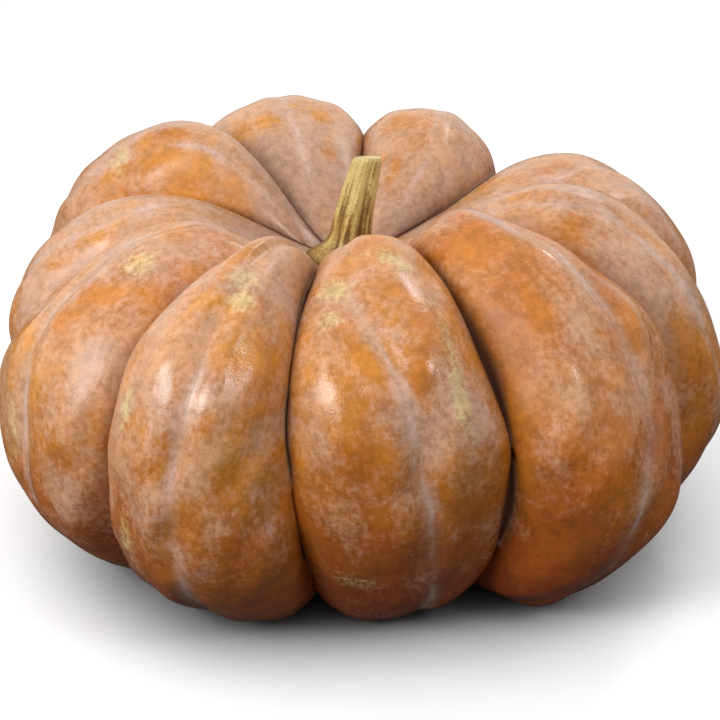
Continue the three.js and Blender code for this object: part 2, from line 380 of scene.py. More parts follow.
class PumpkinStudioSettings(bpy.types.PropertyGroup):
    """What can be changed about the camera and the light"""

    camera_rise: bpy.props.FloatProperty(
        name="Camera Rise", description="Angle of the view above the horizon",
        default=math.radians(27), min=0, max=QUARTER_TURN, subtype="ANGLE", unit="ROTATION",
    )
    camera_distance: bpy.props.FloatProperty(
        name="Camera Distance", description="From the camera to the middle of the view",
        default=1075 * MM, min=0.3, max=5, unit="LENGTH",
    )
    lens: bpy.props.FloatProperty(
        name="Lens", description="Focal length in millimetres on a 36 mm sensor",
        default=95.4, min=20, max=300,
    )
    light: bpy.props.FloatProperty(
        name="Light", description="Strength of all lamps together",
        default=1.0, min=0, max=10,
    )
    surround: bpy.props.FloatProperty(
        name="Surround", description="Strength of the white room overhead",
        default=0.87, min=0, max=3,
    )
    surround_lean: bpy.props.FloatProperty(
        name="Surround Lean", description="How much stronger the room is behind and weaker in front",
        default=0.4, min=0, max=3,
    )


# Shared arithmetic


def ease(share):
    """An S from 0 to 1: three times the square less twice the cube."""
    share = np.clip(share, 0, 1)
    return share * share * (3 - 2 * share)


def ramp(value, low, high):
    """0 up to low, 1 from high and an S between them."""
    return ease((value - low) / (high - low))


def mix(start, end, share):
    """The value a share of the way from start to end."""
    return start + (end - start) * share


def hump(distance, width):
    """A bell: 1 at no distance, falling by the square of distance over width as a power of e."""
    return np.exp(-((distance / width) ** 2))


def stacked(*parts):
    """Arrays or numbers of matching shapes as one array of vectors."""
    return np.stack(np.broadcast_arrays(*parts), axis=-1)


def swell(points, wavelength, seed, waves=28):
    """A smooth random field, mostly within -1 to 1.

    It is the sum of plane sine waves with seeded directions, phases and lengths near the given
    one, over the square root of half their number.
    """
    draw = np.random.default_rng(seed)
    direction = draw.normal(size=(waves, 3))
    direction /= np.linalg.norm(direction, axis=1, keepdims=True)
    pace = 2 * np.pi / (wavelength * draw.uniform(*WAVE_SPREAD, waves))
    phase = draw.uniform(0, 2 * np.pi, waves)
    return np.sin(points @ (direction * pace[:, None]).T + phase).sum(-1) / math.sqrt(waves / 2)


# Meshes from grids of points


def grid_normals(rings):
    """Outward unit normals of a grid of rings: the cross product of its two differences.

    The columns close on themselves. Column by ring points out on grids whose columns run
    clockwise as their rings go down, or anticlockwise as their rings go up.
    """
    across = np.roll(rings, -1, axis=1) - np.roll(rings, 1, axis=1)
    along = np.gradient(rings, axis=0)
    normal = np.cross(across, along)
    return normal / np.maximum(np.linalg.norm(normal, axis=-1, keepdims=True), SMALLEST_LENGTH)


def closed_skin(name, first_pole, rings, last_pole):
    """A closed smooth mesh object over rings of points, with a pole before and after them.

    Points are in millimetres. Quads join each ring to the next and fans close both ends.
    """
    ring_count, columns = rings.shape[:2]
    number = 1 + np.arange(ring_count * columns).reshape(ring_count, columns)
    following = np.roll(number, -1, axis=1)
    quads = np.stack([number[:-1], following[:-1], following[1:], number[1:]], axis=-1).reshape(-1, 4)
    last = ring_count * columns + 1
    top = np.stack([np.zeros(columns, int), following[0], number[0]], axis=-1)
    bottom = np.stack([number[-1], following[-1], np.full(columns, last)], axis=-1)
    points = np.concatenate([[first_pole], rings.reshape(-1, 3), [last_pole]]) * MM
    mesh = bpy.data.meshes.new(name)
    mesh.from_pydata(points.tolist(), [], quads.tolist() + top.tolist() + bottom.tolist())
    mesh.shade_smooth()
    piece = bpy.data.objects.new(name, mesh)
    bpy.context.collection.objects.link(piece)
    return piece


def paint(piece, name, rings):
    """Stores a value or vector for each point of a closed skin; its poles take their ring's mean."""
    flat = rings.reshape(-1, *rings.shape[2:])
    values = np.concatenate([rings[:1].mean(axis=1), flat, rings[-1:].mean(axis=1)])
    kind, field = ("FLOAT_VECTOR", "vector") if values.ndim == 2 else ("FLOAT", "value")
    attribute = piece.data.attributes.new(name, kind, "POINT")
    attribute.data.foreach_set(field, values.astype(np.float32).ravel())


# The fruit's form


LOBE_NUMBER = np.arange(len(LOBES))[:, None]


def outline(shape, station):
    """Distance from the axis and height of an outline at a station, in millimetres.

    Station 0 to 1 is an eased line from the seat's rim to the crown, 1 to 2 and 2 to 3 are
    quarter ellipses to the widest point and down to the foot, and 3 to 4 is an eased line in to
    the scar's rim.
    """
    crown_radius, crown_height, reach, reach_height, foot_radius, foot_height = shape
    rising = np.clip(station, 0, 1)
    outward = np.clip(station - 1, 0, 1) * QUARTER_TURN
    downward = np.clip(station - 2, 0, 1) * QUARTER_TURN
    inward = np.clip(station - 3, 0, 1)
    shoulder = mix(ease(rising), np.sin(rising * QUARTER_TURN), SHOULDER_ROUNDNESS)
    spans = [station <= 1, station <= 2, station <= 3]
    radius = np.select(
        spans,
        [
            mix(SEAT_RADIUS, crown_radius, rising),
            mix(crown_radius, reach, np.sin(outward)),
            mix(foot_radius, reach, np.cos(downward)),
        ],
        mix(foot_radius, SCAR_RADIUS, inward),
    )
    height = np.select(
        spans,
        [
            mix(SEAT_HEIGHT, crown_height, shoulder),
            mix(reach_height, crown_height, np.cos(outward)),
            mix(reach_height, foot_height, np.sin(downward)),
        ],
        mix(foot_height, SCAR_HEIGHT, ease(inward)),
    )
    return radius, height


def crease_shape(lobe, neighbour):
    """The outline of the crease between two lobes: their mean, drawn in."""
    crown_radius, crown_height, reach, reach_height, foot_radius = (lobe[:5] + neighbour[:5]) / 2
    return (
        crown_radius - CREASE_CROWN_INSET,
        crown_height - CREASE_CROWN_DROP,
        reach - CREASE_WAIST_INSET,
        reach_height,
        foot_radius - CREASE_FOOT_INSET,
        CREASE_FOOT_HEIGHT,
    )


def crease_bearing(crease, station):
    """Angle of a crease at a station: its bearing with its twist, its turn and its sway."""
    bearing, twist, turn, sway = crease
    bend = np.where((station > 1) & (station < 3), np.sin(np.pi * (station - 1)), 0)
    twist = twist * (1 - ramp(station, *CREASE_TWIST_SPAN))
    return bearing + twist + turn * ramp(station, *CREASE_TURN_SPAN) + sway * bend


def fruit_grid():
    """The skin before its relief, and where each point lies on it.

    Across a lobe the skin stands out of the line between its creases by a half ellipse. Returned
    arrays are shaped (rings, lobes, steps + 1): the points, the place across the lobe, the
    station, and the arc from the right crease.
    """
    spans = [np.arange(1, count + 1) / count + span for span, count in enumerate(RINGS_PER_SPAN)]
    station = np.concatenate([[0], *spans])[:, None, None]
    table = np.array(list(LOBES.values()), float).T[:, None, :, None]
    right_crease = np.array(CREASES, float).T[:, None, :, None]
    left_crease = np.roll(right_crease, -1, axis=2)
    left_crease[0, :, -1] -= 360

    furrow = mix(table[5], table[6], ramp(station, 1, 3))
    step = np.linspace(0, 1, STEPS_PER_LOBE + 1)
    swing = mix(2 * step - 1, -np.cos(np.pi * step), STEP_CROWDING)
    across = furrow + swing * np.where(swing < 0, 1 + furrow, 1 - furrow)
    leftward = (across + 1) / 2
    bulge = np.sqrt(np.clip(1 - across**2, 0, 1))

    crest = outline((*table[:5], -FOOT_DIP), station)
    right = outline(crease_shape(np.roll(table, 1, axis=2), table), station)
    left = outline(crease_shape(table, np.roll(table, -1, axis=2)), station)
    radius, height = (mix(mix(r, l, leftward), c, bulge) for r, l, c in zip(right, left, crest))
    bearing = np.radians(
        mix(crease_bearing(right_crease, station), crease_bearing(left_crease, station), leftward)
    )
    points = stacked(radius * np.cos(bearing), radius * np.sin(bearing), height)
    step_length = np.linalg.norm(np.diff(points, axis=2), axis=-1)
    arc = np.concatenate([np.zeros_like(step_length[..., :1]), np.cumsum(step_length, axis=2)], axis=2)
    return points, across, station + 0 * across, arc


def lobe_lengths(points):
    """Distance down the back of each lobe from the seat's rim, shaped (rings, lobes, 1)."""
    back = points[:, :, STEPS_PER_LOBE // 2]
    step = np.linalg.norm(np.diff(back, axis=0), axis=-1)
    return np.concatenate([np.zeros_like(step[:1]), np.cumsum(step, axis=0)])[..., None]


def patches(spots, across, station, arc, length):
    """Sum of soft oval spots: each a bell of the distances across and along its lobe."""
    total = np.zeros_like(across)
    for lobe, name in enumerate(LOBES):
        for spot_across, spot_station, half_width, half_length, strength in spots.get(name, ()):
            sideways = (across[:, lobe] - spot_across) * arc[:, lobe, -1:] / 2
            spot_length = np.interp(spot_station, station[:, lobe, 0], length[:, lobe, 0])
            lengthways = length[:, lobe] - spot_length
            distance = np.hypot(sideways / half_width, lengthways / half_length)
            total[:, lobe] += strength * hump(distance, 1)
    return total


def vein_distance(across, station, arc, length):
    """Distance of each point to the left of its lobe's vein.

    The vein's place comes from its table, and a smooth random field moves it a little.
    """
    path = np.stack([np.interp(station[:, 0, 0], VEIN_STATIONS, row) for row in VEINS.values()], axis=1)
    wander = swell(stacked(length, WANDER_STRIDE * LOBE_NUMBER, 0), VEIN_WANDER_LENGTH, seed=12)
    return (across - path[..., None]) * arc[..., -1:] / 2 + VEIN_WANDER * wander


def crease_shade_gap(shade, station, arc):
    """Distance from the nearer crease over the width of the band of painted shade in it."""
    width = shade / (1 + CREASE_SHADE_NARROWING * ramp(station, *CREASE_NARROWING_SPAN))
    width = np.minimum(width, CREASE_SHADE_SHARE * arc[..., -1:])
    return np.minimum(arc / width, (arc[..., -1:] - arc) / np.roll(width, -1, axis=1))


def fruit_relief(settings, furrow, across, station, arc, length, from_vein):
    """How far the skin stands out of the plain one, leaving out the swells.

    The banks less the furrow, plus the lumps and bulges, fading towards the stem and the scar by
    a sine of the station.
    """
    valley = sum(depth * hump(from_vein, width) for depth, width in FURROW_BELLS)
    groove = valley * furrow * settings.furrow_depth / MM
    banks = BANK_HEIGHT * hump(np.abs(from_vein) - BANK_OFFSET, BANK_WIDTH)
    field = stacked(from_vein + LUMP_STRIDE * LOBE_NUMBER, LUMP_SQUEEZE * length, 0)
    inward = 1 - hump(np.minimum(arc, arc[..., -1:] - arc), LUMP_FREE_EDGE)
    lumps = settings.lump_height / MM * swell(field, LUMP_LENGTH, seed=4) * inward
    bulges = patches(BULGES, across, station, arc, length)
    return (banks - groove + lumps + bulges) * np.sin(np.pi * station / SPAN_COUNT)


def in_rings(values):
    """A lobe grid as plain rings: the last step of a lobe is the first one of the next."""
    kept = values[:, :, :-1]
    return kept.reshape(kept.shape[0], -1, *kept.shape[3:])


class PUMPKIN_OT_fruit(bpy.types.Operator):
    """Make the fruit, with its furrows, swells and colour patches, in place of its plain solid"""

    bl_idname = "pumpkin.fruit"
    bl_label = "Pumpkin Fruit"
    bl_options = {"REGISTER", "UNDO"}

    def execute(self, context):
        settings = context.scene.pumpkin_fruit
        points, across, station, arc = fruit_grid()
        length = lobe_lengths(points)
        from_vein = vein_distance(across, station, arc, length)
        shade, furrow, haze, dust = np.array(list(LOBE_LOOKS.values())).T[..., None]

        flat = in_rings(points)
        relief = fruit_relief(settings, furrow, across, station, arc, length, from_vein)
        fade = in_rings(np.sin(np.pi * station / SPAN_COUNT))
        swells = settings.unevenness / MM * swell(flat, SWELL_LENGTH, seed=3) * fade
        skin = flat + grid_normals(flat) * (in_rings(relief) + swells)[..., None]
        skin[..., 2] = np.maximum(skin[..., 2], 0)

        rim = skin[-1]
        direction = rim[:, :2] / np.linalg.norm(rim[:, :2], axis=1, keepdims=True)
        scar = np.stack([np.column_stack([direction * r, np.full(len(rim), z)]) for r, z in SCAR_RINGS])
        rings = np.concatenate([skin, scar]) + AXIS
        piece = closed_skin(
            "pumpkin_fruit",
            AXIS + [0, 0, SEAT_CENTRE_HEIGHT],
            rings,
            AXIS + [0, 0, SCAR_CENTRE_HEIGHT],
        )

        def over_scar(values):
            """The lobe grid as rings, its last ring repeated over the scar."""
            plain = in_rings(values)
            return np.concatenate([plain, np.repeat(plain[-1:], len(SCAR_RINGS), axis=0)])

        vein_starts = [LATE_VEIN_STARTS.get(name, VEIN_START) for name in LOBES]
        vein_start = np.array(vein_starts)[:, None]
        place = (across, station, arc, length)
        fields = {
            "grain": stacked(from_vein, length, GRAIN_STRIDE * LOBE_NUMBER) * MM,
            # How far into the band of painted shade in its crease each point lies
            "gap": crease_shade_gap(shade, station, arc),
            "haze": haze + HOLLOW_HAZE * (1 - ramp(station, *HOLLOW_HAZE_SPAN)),
            "underside": ramp(station, *UNDERSIDE_SPAN),
            "vein": ramp(station, vein_start - VEIN_START_BLUR, vein_start + VEIN_START_BLUR),
            # Dust and painted shade near the stem
            "dust": dust * (1 - ramp(station, *DUST_AND_SHADE_SPAN)),
            "bare": patches(BARE_PATCHES, *place),
            "clouded": patches(BLOOM_PATCHES, *place),
            "cork": patches(CORK_PATCHES, *place) + ramp(station, *SCAR_CORK_SPAN),
            "matt": patches(MATT_PATCHES, *place),
        }
        for name, values in fields.items():
            paint(piece, name, over_scar(values))
        piece.data.materials.append(rind_material(settings))
        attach(piece, "root")
        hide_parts("fruit")
        return {"FINISHED"}


# The stem's form

STEM_COLUMNS = 200
STEM_RINGS = 140
STEM_GAP = 0.3
STEM_FOOT_RADIUS = 20
STEM_TOE_LENGTH = 3.6
STEM_TOE_BEARING = math.radians(190)
STEM_EDGE_HEIGHT = 3.6
STEM_FLARE = 5.5
STEM_UNDER_SHARES = np.linspace(0.1, 1, 12)
# Powers of the height that bunch the rings near the foot and bend the lean
STEM_CLIMB_POWER = 1.6
STEM_LEAN_POWER = 1.5
# Ribs and the grooves on them, by shares of the radius
STEM_RIBS = 5
STEM_RIB_HEIGHT = 0.06
STEM_GROOVE_DEPTH = 0.05
# Fibres and knots are noise on a cylinder of this radius, drawn out up the stem
STEM_NOISE_RADIUS = 12
STEM_NOISE_SQUEEZE = 0.12
STEM_FIBRE_LENGTH = 2.6
STEM_FIBRE_HEIGHT = 0.1
STEM_FIBRE_SHADE = 0.25
STEM_KNOT_LENGTH = 16
STEM_KNOT_SQUEEZE = 4
STEM_KNOT_HEIGHT = 0.25
# The cut slopes, its edge is drawn in and it sinks inside a low rim; its rings go by shares of
# the radius
STEM_CUT_SLOPE = 0.27
STEM_CUT_INSET = 0.09
STEM_CUT_INSET_LENGTH = 1.1
STEM_CUT_DEPTH = 1.2
STEM_CUT_DISH = 0.35
STEM_RIM_HEIGHT = 0.35
STEM_RIM_SHARE = 0.97
STEM_RIM_WIDTH = 0.02
STEM_CUT_SHARES = np.array([0.985, 0.95, 0.88, 0.75, 0.6, 0.45, 0.3, 0.15])[:, None]
STEM_GRAIN_RADIUS = 10
STEM_FOOT_SPAN = (162, 204)
STEM_ANGLE = np.arange(STEM_COLUMNS) * 2 * np.pi / STEM_COLUMNS


def stem_base(radius):
    """Height of the stem's underside at a distance from the axis: the seat's cone and the gap."""
    return mix(SEAT_CENTRE_HEIGHT, SEAT_HEIGHT, radius / SEAT_RADIUS) + STEM_GAP


def stem_grid(settings):
    """Rings of the stem from under its foot up to its cut, and how deep in a furrow each point is.

    The shaft tapers and leans, swells to its toes by a power of e near the foot, and carries five
    ribs, a groove along each rib's back that fades upwards, and fine fibres.
    """
    rib_wave = np.cos(STEM_RIBS * (STEM_ANGLE - STEM_TOE_BEARING))
    groove_wave = np.cos(2 * STEM_RIBS * (STEM_ANGLE - STEM_TOE_BEARING))
    toe = STEM_FOOT_RADIUS + STEM_TOE_LENGTH * rib_wave
    foot_height = stem_base(STEM_FOOT_RADIUS) + STEM_EDGE_HEIGHT
    rise = settings.top_height / MM - foot_height

    climb = np.linspace(0, 1, STEM_RINGS + 1)[:, None] ** STEM_CLIMB_POWER
    height = rise * climb
    field = stacked(
        STEM_NOISE_RADIUS * np.cos(STEM_ANGLE),
        STEM_NOISE_RADIUS * np.sin(STEM_ANGLE),
        STEM_NOISE_SQUEEZE * height,
    )
    fibres = swell(field, STEM_FIBRE_LENGTH, seed=21, waves=40)
    knots = swell(field * [1, 1, STEM_KNOT_SQUEEZE], STEM_KNOT_LENGTH, seed=5)
    ribs = STEM_RIB_HEIGHT * rib_wave - STEM_GROOVE_DEPTH * (1 - climb) * groove_wave
    shaft = mix(settings.low_radius / MM, settings.top_radius / MM, climb) * (1 + ribs)
    shaft = shaft + STEM_FIBRE_HEIGHT * fibres + STEM_KNOT_HEIGHT * knots
    inset = STEM_CUT_INSET * hump(rise - height, STEM_CUT_INSET_LENGTH)
    radius = mix(shaft, toe, hump(height, STEM_FLARE)) * (1 - inset)
    edge_lift = (stem_base(toe) + STEM_EDGE_HEIGHT - foot_height) * (1 - climb)

    def ring(radius, height, climb):
        """A ring that leans and slants more the further up it is."""
        return stacked(
            radius * np.cos(STEM_ANGLE) + settings.lean / MM * climb**STEM_LEAN_POWER,
            radius * np.sin(STEM_ANGLE),
            height - STEM_CUT_SLOPE * climb * radius * np.sin(STEM_ANGLE),
        )

    under = np.stack([ring(toe * share, stem_base(toe * share), 0) for share in STEM_UNDER_SHARES])
    side = ring(radius, foot_height + height + edge_lift, climb)
    rim = STEM_RIM_HEIGHT * hump(STEM_CUT_SHARES - STEM_RIM_SHARE, STEM_RIM_WIDTH)
    cut_sink = STEM_CUT_DEPTH * ramp(1 - STEM_CUT_SHARES, 0, STEM_CUT_DISH) - rim
    cut = ring(radius[-1] * STEM_CUT_SHARES, settings.top_height / MM - cut_sink, 1)
    waves = rib_wave * climb + (1 - climb) * -groove_wave
    depth = 0.5 - 0.5 * waves + STEM_FIBRE_SHADE * fibres
    furrow = np.concatenate([np.full(under.shape[:2], 0.5), depth, np.full(cut.shape[:2], 0.5)])
    return np.concatenate([under, side, cut]), np.clip(furrow, 0, 1)


class PUMPKIN_OT_stem(bpy.types.Operator):
    """Make the dry ribbed stem with its toes and its cut, in place of its plain solid"""

    bl_idname = "pumpkin.stem"
    bl_label = "Pumpkin Stem"
    bl_options = {"REGISTER", "UNDO"}

    def execute(self, context):
        settings = context.scene.pumpkin_stem
        rings, furrow = stem_grid(settings)
        top = settings.top_height / MM - STEM_CUT_DEPTH
        piece = closed_skin(
            "pumpkin_stem",
            AXIS + [0, 0, stem_base(0)],
            rings + AXIS,
            AXIS + [settings.lean / MM, 0, top],
        )
        height = rings[..., 2]
        grain = stacked(
            STEM_GRAIN_RADIUS * np.cos(STEM_ANGLE), STEM_GRAIN_RADIUS * np.sin(STEM_ANGLE), height
        )
        ring_number = np.arange(len(rings))[:, None] + 0 * height
        cut_start = len(rings) - len(STEM_CUT_SHARES)
        paint(piece, "grain", grain * MM)
        paint(piece, "groove", furrow)
        paint(piece, "foot", 1 - ramp(height, *STEM_FOOT_SPAN))
        paint(piece, "cut", ramp(ring_number, cut_start - 2, cut_start))
        piece.data.materials.append(stem_material(settings))
        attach(piece, "root")
        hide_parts("stem")
        return {"FINISHED"}


# Finishes

# Noise on the rind: cells per metre, detail and roughness
RIND_NOISE = {
    "cloud": (12.0, 2.0, 0.5),
    "broad": (20.0, 3.0, 0.55),
    "chill": (28.0, 3.0, 0.5),
    "blotch": (46.0, 6.0, 0.65),
    "dents": (48.0, 1.0, 0.5),
    "grime": (95.0, 5.0, 0.65),
    "wrinkles": (170.0, 4.0, 0.6),
    "fine": (300.0, 4.0, 0.7),
    "speckle": (650.0, 3.0, 0.6),
}
STEM_NOISE = {
    "blots": (110.0, 4.0, 0.6),
    "grit": (700.0, 4.0, 0.65),
    "specks": (900.0, 4.0, 0.6),
}
# Streaks: cells per metre across and along the grain, and from one lobe or side to the next
RIND_STREAKS = {
    "brushed": {"Across": 380.0, "Along": 110.0, "Round": 6.0},
    "runs": {"Across": 70.0, "Along": 20.0, "Round": 6.0},
}
STEM_STREAKS = {"Across": 420.0, "Along": 420.0, "Round": 90.0}
RIND_PORES = {"Scale": 520.0, "Size": 0.45}
STEM_PORES = {"Scale": 1400.0, "Size": 0.5}
# Sums of what varies over a piece: the start, and how much each part adds
RIND_SUMS = {
    "depth": (-1.1, {"broad": 1.5, "blotch": 0.9, "fine": 0.4, "underside": 0.5, "haze": -2.5}),
    "cover": (
        -0.63,
        {
            "cloud": 0.48, "runs": 0.3, "blotch": 0.82, "brushed": 0.2, "fine": 0.5, "haze": 1.0,
            "bare": -0.2, "clouded": 0.17, "underside": -0.26,
        },
    ),
    "tone": (0.0, {"chill": 1.0, "haze": 1.0}),
    "crust": (-1.95, {"cork": 1.0, "blotch": 0.6, "fine": 1.3, "speckle": 1.3, "brushed": 0.6}),
    "freckles": (0.0, {"fine": 0.45, "brushed": 0.15, "grime": 0.4}),
    "roughness": (0.12, {"bloom": 0.18, "crust": 0.3, "fine": 0.2, "crease": 0.6, "matt": 0.3}),
}
STEM_SUMS = {
    "age": (-0.7, {"grit": 1.1, "blots": 0.3, "fibres": 0.3, "foot": 0.45, "groove": 0.35}),
    "shade": (-1.45, {"groove": 1.0, "fibres": 0.9, "grit": 0.8, "foot": 0.5}),
}
# Steps: from and to which value, and what comes out there where that isn't 0 and 1
RIND_STEPS = {
    "bloom": (0.29, 0.7, 0.02, 0.84),
    "tone": (0.38, 0.7),
    "broken vein": (0.38, 0.62),
    "crust": (0.05, 0.9, 0.0, 0.76),
    "cork edge": (0.06, 0.35),
    "freckles": (0.37, 0.62, 0.76, 1.15),
}
STEM_STEPS = {
    "blots": (0.35, 0.7),
    "age": (0.2, 0.8),
    "shade": (0.12, 0.75, 0.0, 0.85),
    "specks": (0.58, 0.7),
    "roughness": (0.3, 0.7, 0.45, 0.7),
}
# How strongly each lies over the colour below it
# The first is the darker, redder rind towards the foot, partly painted shade
UNDERSIDE_TINT_AND_SHADE_SHARE = 0.55
SPECK_SHARE = 0.55
CUT_SHARE = 0.55
# Relief that is finer than the meshes
DENT_HEIGHT = 0.8
WRINKLE_HEIGHT = 0.2
PORE_HEIGHT = 0.04
CORK_HEIGHT = 0.4
FIBRE_HEIGHT = 0.4
GRIT_HEIGHT = 0.3
STEM_PORE_HEIGHT = 0.1
# The vein's line and the pale haze beside it: from where to where each fades out, how strong it
# is where the vein is broken, and how much stronger elsewhere
VEIN_PARTS = ((0.5, 2.4, 0.1, 0.3), (1.0, 9.0, 0.12, 0.4))
VEIN_RAGGEDNESS = 4
# Brown bands of painted shade in a crease: how far each reaches against the band's width, and how
# dark it is; each is full up to a share of its reach
CREASE_SHADE_BANDS = ((2.4, 0.4), (1.0, 0.93))
CREASE_SHADE_CORE = 0.25
# Painted shadow where the floor is close to the fruit: reach in metres, samples, and from which
# openness to which it fades
CONTACT_REACH = 0.1
CONTACT_SAMPLES = 16
CONTACT_FADE = (-0.05, 0.68)


class Wiring:
    """Adds shader nodes to one tree; an input may be a plain value or another node's output"""

    def __init__(self, tree):
        self.tree = tree

    def feed(self, socket, value):
        """Links another node's output to a socket, or sets its plain value."""
        if isinstance(value, bpy.types.NodeSocket):
            self.tree.links.new(value, socket)
        else:
            socket.default_value = value

    def add(self, kind, inputs=(), **settings):
        """A new node of a kind, with its settings made and its inputs fed."""
        node = self.tree.nodes.new("ShaderNode" + kind)
        for name, value in settings.items():
            setattr(node, name, value)
        for socket, value in dict(inputs).items():
            self.feed(node.inputs[socket], value)
        return node

    def math(self, operation, first, second=0.0, clamp=False):
        """One operation on one or two values."""
        node = self.add("Math", {0: first, 1: second}, operation=operation, use_clamp=clamp)
        return node.outputs[0]

    def blend(self, factor, first, second, mode="MIX"):
        """Colour from first to second by a factor."""
        node = self.add("Mix", data_type="RGBA", blend_type=mode, clamp_factor=True)
        for socket, value in ((0, factor), (6, first), (7, second)):
            self.feed(node.inputs[socket], (*value, 1) if isinstance(value, tuple) else value)
        return node.outputs[2]

    def noise(self, vector, scale, detail, roughness):
        """Soft noise from 0 to 1 at a place."""
        inputs = {"Vector": vector, "Scale": scale, "Detail": detail, "Roughness": roughness}
        return self.add("TexNoise", inputs).outputs["Fac"]

    def step(self, value, low, high, to_low=0.0, to_high=1.0):
        """An S from one value to another as the input goes from low to high."""
        node = self.add("MapRange", {"Value": value}, interpolation_type="SMOOTHSTEP")
        limits = {"From Min": low, "From Max": high, "To Min": to_low, "To Max": to_high}
        for socket, limit in limits.items():
            self.feed(node.inputs[socket], limit)
        return node.outputs["Result"]

    def attribute(self, name, output="Fac"):
        """What was painted on the piece under a name."""
        return self.add("Attribute", attribute_name=name).outputs[output]

    def total(self, *parts, start=0.0):
        """The start plus each part times its weight."""
        result = start
        for value, weight in parts:
            node = self.add("Math", {0: value, 1: weight, 2: result}, operation="MULTIPLY_ADD")
            result = node.outputs[0]
        return result

    def mixture(self, parts, recipe):
        """A recipe's start plus each part that it names times its weight."""
        start, weights = recipe
        return self.total(*((parts[name], weight) for name, weight in weights.items()), start=start)

    def bump(self, height, distance, normal=None):
        """A normal tilted by a height, on top of another normal if one is given."""
        inputs = {"Strength": 1.0, "Distance": distance, "Height": height}
        if normal is not None:
            inputs["Normal"] = normal
        return self.add("Bump", inputs).outputs[0]

    def group(self, name, inputs):
        """A shared effect with its inputs fed."""
        node = self.add("Group", node_tree=bpy.data.node_groups[name])
        for socket, value in inputs.items():
            self.feed(node.inputs[socket], value)
        return node.outputs[0]


def shader_group(name, inputs, output, wire):
    """A node group with the named inputs and one value output, wired once and used by name."""
    if name in bpy.data.node_groups:
        return
    tree = bpy.data.node_groups.new(name, "ShaderNodeTree")
    for socket, kind in inputs.items():
        tree.interface.new_socket(socket, in_out="INPUT", socket_type="NodeSocket" + kind)
    tree.interface.new_socket(output, in_out="OUTPUT", socket_type="NodeSocketFloat")
    wiring = Wiring(tree)
    given = wiring.tree.nodes.new("NodeGroupInput").outputs
    result = wire(wiring, given)
    tree.links.new(result, tree.nodes.new("NodeGroupOutput").inputs[0])


def wire_streaks(wiring, given):
    """Noise that is short across the grain and long along it: streaks."""
    stretch = wiring.add("CombineXYZ", {"X": given["Across"], "Y": given["Along"], "Z": given["Round"]})
    scaled = wiring.add(
        "VectorMath", {0: given["Grain"], 1: stretch.outputs[0]}, operation="MULTIPLY"
    )
    return wiring.noise(scaled.outputs[0], scale=1.0, detail=3.0, roughness=0.55)


def wire_pores(wiring, given):
    """Small round pits: cells whose middles are low."""
    inputs = {"Vector": given["Vector"], "Scale": given["Scale"], "Randomness": 1.0}
    cell = wiring.add("TexVoronoi", inputs, feature="F1").outputs["Distance"]
    return wiring.step(cell, 0.0, given["Size"])


def make_effects():
    """The effects that both finishes use."""
    streak_inputs = {"Grain": "Vector", "Across": "Float", "Along": "Float", "Round": "Float"}
    shader_group("streaks", streak_inputs, "Value", wire_streaks)
    pore_inputs = {"Vector": "Vector", "Scale": "Float", "Size": "Float"}
    shader_group("pores", pore_inputs, "Height", wire_pores)


def new_material(name):
    """A material with its Principled shader, and a wiring of its tree."""
    material = bpy.data.materials.new(name)
    material.use_nodes = True
    wiring = Wiring(material.node_tree)
    return material, wiring, material.node_tree.nodes["Principled BSDF"]


